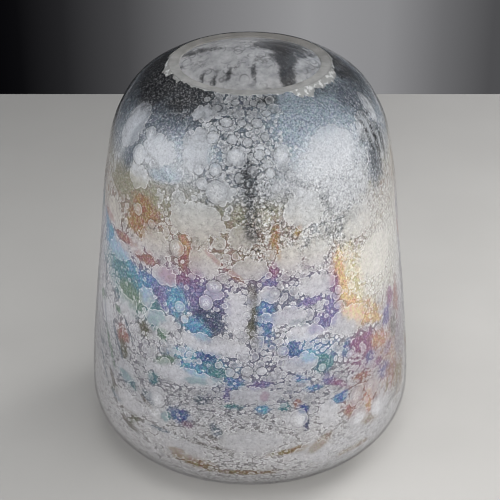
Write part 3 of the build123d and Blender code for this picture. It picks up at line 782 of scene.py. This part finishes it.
class Graph:
    """Short forms for building a material's nodes."""

    def __init__(self, name):
        self.material = bpy.data.materials.new(name)
        self.material.use_nodes = True
        self.tree = self.material.node_tree
        self.tree.nodes.clear()
        self.output = self.tree.nodes.new("ShaderNodeOutputMaterial")
        self.position = self.node("TexCoord").outputs["Object"]

    def link(self, value, socket):
        """Joins a socket to another's output, or sets it to a plain value."""
        if isinstance(value, bpy.types.NodeSocket):
            self.tree.links.new(value, socket)
        else:
            socket.default_value = value

    def node(self, kind, **values):
        """A shader node. Values named in lower case are its settings, and the others are its inputs."""
        made = self.tree.nodes.new("ShaderNode" + kind)
        for key, value in values.items():
            if key.islower():
                setattr(made, key, value)
            else:
                self.link(value, made.inputs[key.replace("_", " ")])
        return made

    def attribute(self, name, output="Fac"):
        return self.node("Attribute", attribute_name=name).outputs[output]

    def axes(self, vector):
        return self.node("SeparateXYZ", Vector=vector).outputs

    def math(self, operation, *values, kind="Math", **settings):
        """The outputs of a Math or VectorMath node, its inputs filled in order."""
        made = self.node(kind, operation=operation, **settings)
        for value, socket in zip(values, made.inputs):
            self.link(value, socket)
        return made.outputs

    def times(self, first, *others):
        for other in others:
            first = self.math("MULTIPLY", first, other)[0]
        return first

    def plus(self, first, second):
        return self.math("ADD", first, second)[0]

    def largest(self, first, *others):
        for other in others:
            first = self.math("MAXIMUM", first, other)[0]
        return first

    def line(self, value, slope, base, **settings):
        """The value times the slope, plus the base."""
        return self.math("MULTIPLY_ADD", value, slope, base, **settings)[0]

    def step(self, value, low, high):
        """0 below low, 1 above high, smooth between; low may be the larger."""
        return self.node(
            "MapRange", interpolation_type="SMOOTHSTEP", Value=value, From_Min=low, From_Max=high
        ).outputs[0]

    def band(self, value, low, low_full, high_full, high):
        """1 between the middle two numbers, smoothly down to 0 at the outer two."""
        return self.times(self.step(value, low, low_full), self.step(value, high, high_full))

    def noise(self, size, detail=2.0, roughness=0.5):
        """Noise whose blobs are about this many mm across."""
        scale = 1 / (size * MM)
        return self.node(
            "TexNoise", Vector=self.position, Scale=scale, Detail=detail, Roughness=roughness
        ).outputs[0]

    def fray(self, size, detail, roughness, spread):
        """Noise round 0, over this spread."""
        return self.line(self.noise(size, detail, roughness), spread, -0.5 * spread)

    def mix(self, factor, first, second, blend="MIX"):
        made = self.node("Mix", data_type="RGBA", blend_type=blend)
        for value, index in ((factor, 0), (first, 6), (second, 7)):
            self.link(value, made.inputs[index])
        return made.outputs[2]

    def coat(self, colour, paint, *shares):
        """A colour with paint over it, as much as the shares multiplied together."""
        return self.mix(self.times(*shares), colour, paint)

    def hue_shift(self, colour, **changes):
        return self.node("HueSaturation", Color=colour, **changes).outputs[0]

    def ramp(self, factor, *stops):
        """Colours blended between stops, each a position and an srgb colour."""
        made = self.node("ValToRGB")
        self.link(factor, made.inputs[0])
        elements = made.color_ramp.elements
        elements[0].position, elements[0].color = stops[0][0], srgb(*stops[0][1])
        elements[1].position, elements[1].color = stops[-1][0], srgb(*stops[-1][1])
        for place, colour in stops[1:-1]:
            elements.new(place).color = srgb(*colour)
        return made.outputs[0]

    def bump(self, height, distance, strength=1.0, **inputs):
        return self.node(
            "Bump", Height=height, Distance=distance * MM, Strength=strength, **inputs
        ).outputs[0]

    def shader_mix(self, factor, first, second):
        made = self.node("MixShader")
        for value, socket in zip((factor, first.outputs[0], second.outputs[0]), made.inputs):
            self.link(value, socket)
        return made

    def finish(self, shader):
        self.tree.links.new(shader.outputs[0], self.output.inputs["Surface"])
        return self.material


STIR_CELL = 6.25
STIR_REACH = 1.2
STRETCH_TOP = 75.0
STRETCH = 0.9


def froth_space(graph):
    """Position in mm for the froth, gently stirred, with bubbles low on the wall flattened sideways."""
    place = graph.math("MULTIPLY", graph.position, (1 / MM,) * 3, kind="VectorMath")[0]
    stir = graph.node("TexNoise", Vector=place, Scale=1 / STIR_CELL, Detail=1.0).outputs["Color"]
    spread, middle = (2 * STIR_REACH,) * 3, (-STIR_REACH,) * 3
    stir = graph.math("MULTIPLY_ADD", stir, spread, middle, kind="VectorMath")[0]
    x, y, z = graph.axes(graph.math("ADD", place, stir, kind="VectorMath")[0])
    upright = graph.plus(z, graph.times(graph.math("MINIMUM", z, STRETCH_TOP)[0], STRETCH))
    return graph.node("CombineXYZ", X=x, Y=y, Z=upright).outputs[0]


# Froth bubbles: (spacing in mm, largest radius as a share of the spacing)
LARGE_FROTH = (8.5, 0.46)
MEDIUM_FROTH = (4.0, 0.58)
SMALL_FROTH = (2.3, 0.66)
CASING_DOMES = [(4.0, 0.52), (2.3, 0.60)]
BOWL_BUBBLES = [(9.0, 0.5), (4.5, 0.55)]


def bubbles(graph, space, size, reach, amount):
    """How far inside a froth bubble each point is, in mm, and that bubble's random tone."""
    spots = graph.node("TexVoronoi", Vector=space, Scale=1 / size)
    chance, growth, tone = graph.node("SeparateColor", Color=spots.outputs["Color"]).outputs
    present = graph.math("GREATER_THAN", amount, chance)[0]
    radius = graph.times(graph.line(growth, 0.45 * reach, 0.55 * reach), present)
    return graph.times(graph.math("SUBTRACT", radius, spots.outputs["Distance"])[0], size), tone


# Paints, as display values
GRAIN_DARK = srgb(40, 40, 46)
# Grain, with painted glints among it
GRAIN_AND_GLINT_BRIGHT = srgb(226, 224, 224)
# Painted shade beside the froth
GULLY_SHADE_DARK = srgb(24, 20, 24)
# Painted shade at the bubbles' edges, and the dark of the lace lines
CREASE_AND_EDGE_SHADE_DARK = srgb(32, 30, 34)
# Painted highlights on the bubbles' rims and cores
RIM_HIGHLIGHT_WHITE = srgb(246, 246, 245)
CORE_HIGHLIGHT_WHITE = srgb(236, 237, 238)
SPECK_GREY = srgb(70, 68, 70)
GRIT_DARK = srgb(34, 35, 40)
# Painted glints
PAINTED_GLINT_WHITE = srgb(242, 243, 245)
# Smoky glass and painted dark reflection
SMOKE_AND_REFLECTION_DARK = srgb(26, 28, 32)
FROST = [(0.28, (194, 193, 193)), (0.5, (218, 217, 216)), (0.72, (238, 237, 235))]
# Colour of the milky glass, which also paints the highlight and the bounce light
CLOUD_AND_PAINTED_LIGHT = [(0.36, (146, 149, 158)), (0.64, (240, 241, 243))]
# The pale glass's tint by height, as a share of the lip's
TINTS = [
    (0.1, (240, 239, 242)), (0.35, (241, 242, 247)), (0.56, (236, 235, 239)), (0.70, (234, 232, 226)),
    (0.82, (244, 247, 252)), (1.0, (244, 247, 252)),
]


class Pattern(Graph):
    """The look of the film, froth and islands. A field is the distance in mm inside the nearest edge."""

    def __init__(self, name):
        super().__init__(name)
        self.space = froth_space(self)
        amount = self.attribute("froth")
        self.large, _ = bubbles(self, self.space, *LARGE_FROTH, amount)
        self.medium, self.medium_tone = bubbles(self, self.space, *MEDIUM_FROTH, amount)
        self.small, self.small_tone = bubbles(self, self.space, *SMALL_FROTH, amount)
        fray = self.fray(1.1, 2, 0.6, 0.9)
        self.ring = self.plus(self.attribute("ring"), self.times(fray, 1.6))
        self.single = self.largest(self.plus(self.attribute("island"), fray), self.ring)
        self.nearest = self.largest(self.single, self.large, self.medium, self.small)
        self.grain = self.noise(0.8, 3, 0.85)
        self.milk_and_painted_light = self.attribute("milk_and_painted_light")
        self.level = self.axes(self.position)["Z"]
        self.upper = self.line(self.step(self.level, 28 * MM, 62 * MM), 0.75, 0.25)
        self.calm = self.line(self.step(self.single, 0.0, 1.2), -0.7, 1.0)
        hue = self.line(self.noise(2.0, 3, 0.7), 0.32, 0.335)
        self.film = self.hue_shift(self.attribute("film", "Color"), Hue=hue)

    def paleness(self):
        """0 on open film and 1 on froth and islands, with a softer edge in the milky places and the painted
        highlight.
        """
        softness = self.times(self.milk_and_painted_light, 2.2)
        low = self.math("SUBTRACT", -0.10, softness)[0]
        return self.step(self.nearest, low, self.plus(softness, 0.14))

    def open_film(self):
        """Grainy film with painted glints among the grain, and painted shade in the gullies beside the froth.
        """
        colour = self.coat(self.film, GRAIN_DARK, self.step(self.grain, 0.50, 0.36), 0.72)
        # Painted glints among the grain
        colour = self.coat(colour, GRAIN_AND_GLINT_BRIGHT, self.step(self.grain, 0.54, 0.66), 0.72)
        # Painted shade on the film just outside the froth's edge
        gully_shade = self.band(self.nearest, -1.1, -0.2, -0.05, 0.1)
        return self.coat(colour, self.mix(0.6, self.film, GULLY_SHADE_DARK), gully_shade, 0.5, self.upper)

    def frosted_glass(self):
        """The pale glass of the froth and the islands, in some of which the film's colour shines through."""
        tints = self.ramp(self.math("DIVIDE", self.level, LIP_HEIGHT * MM)[0], *TINTS)
        frosted = self.mix(1.0, self.ramp(self.noise(3.0, 4, 0.65), *FROST), tints, "MULTIPLY")
        pale = self.hue_shift(frosted, Value=self.line(self.attribute("tone"), 0.4, 0.8))
        bathed = self.mix(self.line(self.attribute("blush"), 0.6, 0.2), pale, self.film)
        tone = self.mix(self.step(self.medium, 0.0, 0.1), self.small_tone, self.medium_tone)
        tinted = self.mix(self.step(tone, 0.5, 1.0), bathed, self.mix(0.62, pale, self.film))
        return self.mix(self.step(self.single, 0.1, -0.1), bathed, tinted)

    def creases_and_edge_shade(self):
        """How dark the fine lines are: painted shade in a band round each bubble's edge, and lace lines
        through the froth.
        """
        lace = self.node("TexVoronoi", feature="DISTANCE_TO_EDGE", Vector=self.space, Scale=1 / 3.4)
        cracks = self.step(lace.outputs["Distance"], 0.07, 0.02)
        lines = self.times(cracks, self.step(self.noise(6, 1), 0.42, 0.56), 0.35)
        wide_ring = self.times(self.ring, 0.75)
        # Painted shade in a thin band round each bubble's edge
        for field, strength in ((self.large, 0.45), (self.medium, 0.5), (self.small, 0.3), (wide_ring, 0.85)):
            crease = self.times(self.band(field, -0.60, -0.15, -0.10, 0.20), strength)
            lines = self.largest(lines, crease)
        return self.times(lines, self.upper, self.calm)

    def bubble_glass(self):
        """The pale glass with painted highlights on its rims and cores, and dark crease lines that are partly
        painted shade at the bubbles' edges.
        """
        # Painted highlight just inside each bubble's edge
        rim_highlight = self.band(self.nearest, 0.0, 0.15, 0.2, 0.55)
        colour = self.coat(self.frosted_glass(), RIM_HIGHLIGHT_WHITE, rim_highlight, 0.65)
        # Painted highlight in the middle of the single bubbles
        core_highlight = self.times(self.step(self.ring, 1.0, 2.4), self.step(self.grain, 0.42, 0.60))
        colour = self.coat(colour, CORE_HIGHLIGHT_WHITE, core_highlight, 0.8)
        return self.mix(self.creases_and_edge_shade(), colour, self.mix(0.75, self.film, CREASE_AND_EDGE_SHADE_DARK))

    def with_specks_and_painted_light(self, colour):
        """A colour with the specks that lie over film and froth alike, the milky clouds with painted
        highlight and bounce light, painted glints and dark specks in the gritty places, and smoky glass with
        painted dark reflection.
        """
        colour = self.coat(colour, SPECK_GREY, self.step(self.noise(1.35, 3, 0.85), 0.46, 0.34), 0.36)
        # Milky glass, painted highlight and painted bounce light
        colour = self.coat(colour, self.ramp(self.grain, *CLOUD_AND_PAINTED_LIGHT), self.milk_and_painted_light, 0.8)
        # Dark specks, and painted glints in white, over the gritty places
        grit_and_glints = self.times(self.attribute("grit_and_glints"), self.calm)
        fine = self.noise(1.15, 2, 0.85)
        colour = self.coat(colour, GRIT_DARK, self.step(fine, 0.46, 0.36), grit_and_glints, self.upper)
        colour = self.coat(colour, PAINTED_GLINT_WHITE, self.step(fine, 0.54, 0.64), grit_and_glints)
        wisps = self.step(self.noise(1.0, 2, 0.8), 0.40, 0.52)
        # Smoky glass, with painted dark reflection down the front and at the shoulders' outline
        return self.coat(colour, SMOKE_AND_REFLECTION_DARK, self.attribute("smoke"), wisps)

    def relief(self):
        """Height of the froth's domes and the fine pits."""
        domes = self.largest(self.step(self.medium, -0.2, 1.0), self.step(self.small, -0.2, 0.7))
        return self.plus(self.noise(0.8, 3, 0.7), domes)


def pattern_material(name):
    """Film, froth and islands in one surface, which light shines through a little."""
    pattern = Pattern(name)
    pale = pattern.paleness()
    colour = pattern.with_specks_and_painted_light(pattern.mix(pale, pattern.open_film(), pattern.bubble_glass()))
    surface = pattern.node(
        "BsdfPrincipled", Base_Color=colour, Normal=pattern.bump(pattern.relief(), 0.22, 0.8),
        Metallic=pattern.line(pale, -0.2, 0.2), Roughness=pattern.line(pale, 0.16, 0.34),
    )
    through = pattern.node("BsdfTranslucent", Color=colour)
    return pattern.finish(pattern.shader_mix(pattern.line(pale, 0.15, 0.35), surface, through))


GLASS_INDEX = 1.36


def hand_waves(graph, depth):
    """Normal of glass that was shaped by hand, with waves this many mm deep."""
    return graph.bump(graph.times(graph.noise(4.5, 1), 0.8), depth)


def glossed(graph, under, roughness, normal):
    """A material of clear glass that shows what is under it and adds the gloss of its own surface."""
    gloss = graph.node("BsdfGlossy", Color=WHITE, Roughness=roughness, Normal=normal)
    fresnel = graph.node("Fresnel", IOR=GLASS_INDEX, Normal=normal).outputs[0]
    return graph.finish(graph.shader_mix(fresnel, under, gloss))


def casing_glass():
    """The clear outer skin, in which the froth stands up in domes as much as its rough attribute says."""
    graph = Graph("casing_glass")
    space = froth_space(graph)
    domes = [
        graph.step(bubbles(graph, space, size, reach, 1.0)[0], -0.25, 0.45 * size * reach)
        for size, reach in CASING_DOMES
    ]
    relief = graph.plus(graph.largest(*domes), graph.noise(0.8, 2, 0.6))
    relief = graph.times(relief, graph.attribute("rough"))
    normal = graph.bump(relief, 0.30, Normal=hand_waves(graph, 0.12))
    return glossed(graph, graph.node("BsdfTransparent", Color=WHITE), 0.08, normal)


def gather_glass():
    """The vessel's glass, which scatters light as much as its haze attribute says, stained by smoke."""
    graph = Graph("gather_glass")
    space = froth_space(graph)
    edges = 0.0
    for size, reach in BOWL_BUBBLES:
        field = bubbles(graph, space, size, reach, 0.75)[0]
        edges = graph.largest(edges, graph.band(field, -0.9, -0.1, 0.0, 0.7))
    cloud = graph.ramp(graph.noise(7, 4, 0.65), (0.3, (160, 161, 164)), (0.7, (218, 218, 219)))
    cloud = graph.coat(cloud, srgb(88, 88, 92), edges, graph.step(graph.noise(12, 2), 0.4, 0.6), 0.5)
    stain = graph.plus(graph.attribute("stain"), graph.fray(4, 4, 0.7, 1.6))
    cloud = graph.coat(cloud, srgb(50, 50, 53), graph.step(stain, 0.05, 0.75), 0.9)
    scatter = graph.node("BsdfDiffuse", Color=cloud)
    through = graph.node("BsdfTranslucent", Color=cloud)
    clear = graph.node("BsdfTransparent", Color=(0.98, 0.985, 0.98, 1))
    under = graph.shader_mix(graph.attribute("haze"), clear, graph.shader_mix(0.5, scatter, through))
    return glossed(graph, under, 0.06, hand_waves(graph, 0.05))


def smoke_glass():
    """Speckled charcoal glass, dark only where the film over it is dark."""
    graph = Graph("smoke_glass")
    colour = graph.ramp(graph.noise(1.0, 3, 0.7), (0.3, (14, 14, 16)), (0.7, (34, 36, 40)))
    surface = graph.node("BsdfPrincipled", Base_Color=colour, Roughness=0.4)
    clear = graph.node("BsdfTransparent", Color=(0.95, 0.95, 0.96, 1))
    return graph.finish(graph.shader_mix(graph.attribute("dark"), clear, surface))


def ground_lip():
    """Finely ground glass: grey, cloudy, with pale glass and painted glints along its outer edge, and duller
    at the back.
    """
    graph = Graph("ground_lip")
    x, y, _ = graph.axes(graph.position)
    colour = graph.ramp(graph.noise(7, 4, 0.6), (0.3, (132, 132, 131)), (0.7, (164, 163, 161)))
    colour = graph.coat(colour, srgb(96, 92, 86), graph.step(y, -10 * MM, 32 * MM), 0.6)
    # Pale glass with painted glints along the lip's outer edge
    pale_edge_and_glints = graph.ramp(graph.noise(2.6, 2, 0.6), (0.5, (186, 186, 184)), (0.62, (246, 246, 245)))
    across = graph.node("CombineXYZ", X=x, Y=y).outputs[0]
    radius = graph.math("LENGTH", across, kind="VectorMath")["Value"]
    edge = graph.step(radius, (LIP_RADIUS - 0.2) * MM, (LIP_RADIUS + 0.3) * MM)
    colour = graph.mix(edge, colour, pale_edge_and_glints)
    surface = graph.node(
        "BsdfPrincipled", Base_Color=colour, Roughness=0.5, Specular_IOR_Level=0.3,
        Normal=graph.bump(graph.noise(0.5, 2, 0.7), 0.05),
    )
    through = graph.node("BsdfTranslucent", Color=colour)
    return graph.finish(graph.shader_mix(0.4, surface, through))


# ---------------------------------------------------------------- assembly

pieces = build_film_and_islands()
pieces["clear_casing"] = build_casing()
pieces["smoke_overlay"] = build_smoke()
pieces["inner_gather"] = build_gather()

film_material = pattern_material("lustre_film")
island_material = pattern_material("pale_islands")
pieces["lustre_film"].data.materials.append(film_material)
for node in ISLAND_NODES:
    pieces[node].data.materials.append(island_material)
pieces["clear_casing"].data.materials.append(casing_glass())
pieces["smoke_overlay"].data.materials.append(smoke_glass())
pieces["inner_gather"].data.materials[0] = gather_glass()
pieces["inner_gather"].data.materials[1] = ground_lip()

SLOTS = {
    "lustre_film": "lustre", "clear_casing": "casing_glass", "smoke_overlay": "smoke_glass",
    "inner_gather": "gather_glass", **dict.fromkeys(ISLAND_NODES, "pale_islands"),
}
for node, piece in pieces.items():
    piece.name = node + "_glass"
    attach(piece, BODY)
    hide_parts(node)

# ---------------------------------------------------------------- stage, light and camera, in metres

STAGE_REACH = 3
TABLE_BACK = 0.438
BACKDROP_DISTANCE = 1.7
BACKDROP_RISE = 2
# The backdrop's greys across one metre, from the left: a painted pool of light
BACKDROP_GREYS = [
    (0.03, 4), (0.09, 12), (0.17, 35), (0.28, 69), (0.42, 117),
    (0.60, 149), (0.74, 139), (0.84, 106), (0.93, 78),
]
LAMP_AIM = Vector((0, 0, 0.09))
WARM = (1.0, 0.99, 0.97)
COOL = (0.97, 0.98, 1.0)
NEUTRAL = (1, 1, 1)
# (name, azimuth, distance, height, the panel's width and height, watts, colour, seen in the gloss)
SOFTBOXES = [
    ("right_window", 58, 1.0, 0.42, 1.3, 0.7, 5.7, WARM, True),
    ("left_window", -62, 1.05, 0.42, 1.1, 0.6, 4.4, COOL, True),
    ("back_window", 128, 1.1, 0.55, 0.5, 0.5, 12, NEUTRAL, False),
    ("front_fill", -2, 1.5, 0.55, 1.4, 0.8, 18.4, NEUTRAL, False),
    ("top_fill", 20, 0.2, 1.3, 0.9, 0.9, 8.2, NEUTRAL, False),
    ("right_fill", 60, 1.0, 0.08, 0.9, 0.4, 9.5, NEUTRAL, False),
    ("left_fill", -76, 1.0, 0.12, 0.9, 0.4, 3.4, NEUTRAL, False),
]
SKY_COLOUR = (0.9, 0.95, 1.0, 1)
SKY_STRENGTH = 0.30
CAMERA_DISTANCE = 0.7367
CAMERA_PITCH = 29.86
CAMERA_AIM = Vector((0, 0, 0.1016))
FOCAL_LENGTH = 100.8
SENSOR_WIDTH = 36


def table_material():
    """Pale plain table, with painted shade towards its far edge and the left."""
    graph = Graph("table")
    x, y, _ = graph.axes(graph.position)
    colour = graph.ramp(graph.noise(60, 2, 0.4), (0.3, (166, 164, 161)), (0.7, (170, 168, 165)))
    # Painted shade towards the far edge
    colour = graph.coat(colour, srgb(112, 111, 110), graph.step(y, 0.05, 0.48), 0.6)
    # Painted shade towards the left
    colour = graph.coat(colour, srgb(122, 121, 119), graph.step(x, 0.06, -0.14), 0.3)
    return graph.finish(graph.node("BsdfPrincipled", Base_Color=colour, Roughness=0.5))


def backdrop_material():
    """Dark grey cloth, with a soft pool of light a little right of the middle painted in as glowing emission.
    """
    graph = Graph("backdrop")
    across = graph.line(graph.axes(graph.position)["X"], 1.0, 0.5, use_clamp=True)
    colour = graph.ramp(across, *((spot, (grey, grey, grey + 2)) for spot, grey in BACKDROP_GREYS))
    return graph.finish(graph.node("Emission", Color=colour))


def link_object(name, data):
    """A new object in the scene."""
    made = bpy.data.objects.new(name, data)
    bpy.context.scene.collection.objects.link(made)
    return made


def stage_plane(name, near, far, material):
    """A plane across the whole stage between two edges, each given as a distance back and a height."""
    corners = [(-STAGE_REACH, *near), (STAGE_REACH, *near), (STAGE_REACH, *far), (-STAGE_REACH, *far)]
    mesh = bpy.data.meshes.new(name)
    mesh.from_pydata(corners, [], [(0, 1, 2, 3)])
    mesh.materials.append(material)
    link_object(name, mesh)


def softbox(name, azimuth, distance, height, width, tall, power, colour, glossy):
    """A soft rectangular lamp, aimed at the vase."""
    light = bpy.data.lights.new(name, "AREA")
    light.shape, light.size, light.size_y = "RECTANGLE", width, tall
    light.energy, light.color = power, colour
    lamp = link_object(name, light)
    turn = math.radians(azimuth)
    lamp.location = (distance * math.sin(turn), -distance * math.cos(turn), height)
    lamp.rotation_euler = (LAMP_AIM - lamp.location).to_track_quat("-Z", "Y").to_euler()
    lamp.visible_glossy = glossy


def bowl_glow():
    """Light that the real glass would carry down through its wall into the bowl."""
    light = bpy.data.lights.new("bowl_glow", "POINT")
    light.energy, light.shadow_soft_size = 0.26, 0.03
    lamp = link_object("bowl_glow", light)
    lamp.location = (0, 0, 0.12)
    lamp.visible_glossy = False
    lamp.visible_camera = False


def studio_sky():
    """Faint, even light from all round."""
    world = bpy.data.worlds.new("studio")
    world.use_nodes = True
    background = world.node_tree.nodes["Background"]
    background.inputs[0].default_value = SKY_COLOUR
    background.inputs[1].default_value = SKY_STRENGTH
    bpy.context.scene.world = world


def studio_camera():
    """A long lens that looks down at the vase from the front."""
    lens = bpy.data.cameras.new("camera")
    lens.lens, lens.sensor_width = FOCAL_LENGTH, SENSOR_WIDTH
    camera = link_object("camera", lens)
    pitch = math.radians(CAMERA_PITCH)
    back = Vector((0, -math.cos(pitch), math.sin(pitch)))
    camera.location = CAMERA_AIM + back * CAMERA_DISTANCE
    camera.rotation_euler = back.to_track_quat("Z", "Y").to_euler()
    bpy.context.scene.camera = camera


stage_plane("table", (-STAGE_REACH, 0), (TABLE_BACK, 0), table_material())
stage_plane(
    "backdrop", (BACKDROP_DISTANCE, -BACKDROP_RISE), (BACKDROP_DISTANCE, BACKDROP_RISE), backdrop_material(),
)
for place in SOFTBOXES:
    softbox(*place)
bowl_glow()
studio_sky()
studio_camera()
bpy.context.scene.view_settings.view_transform = "Standard"
bpy.context.scene.cycles.filter_width = 1.0
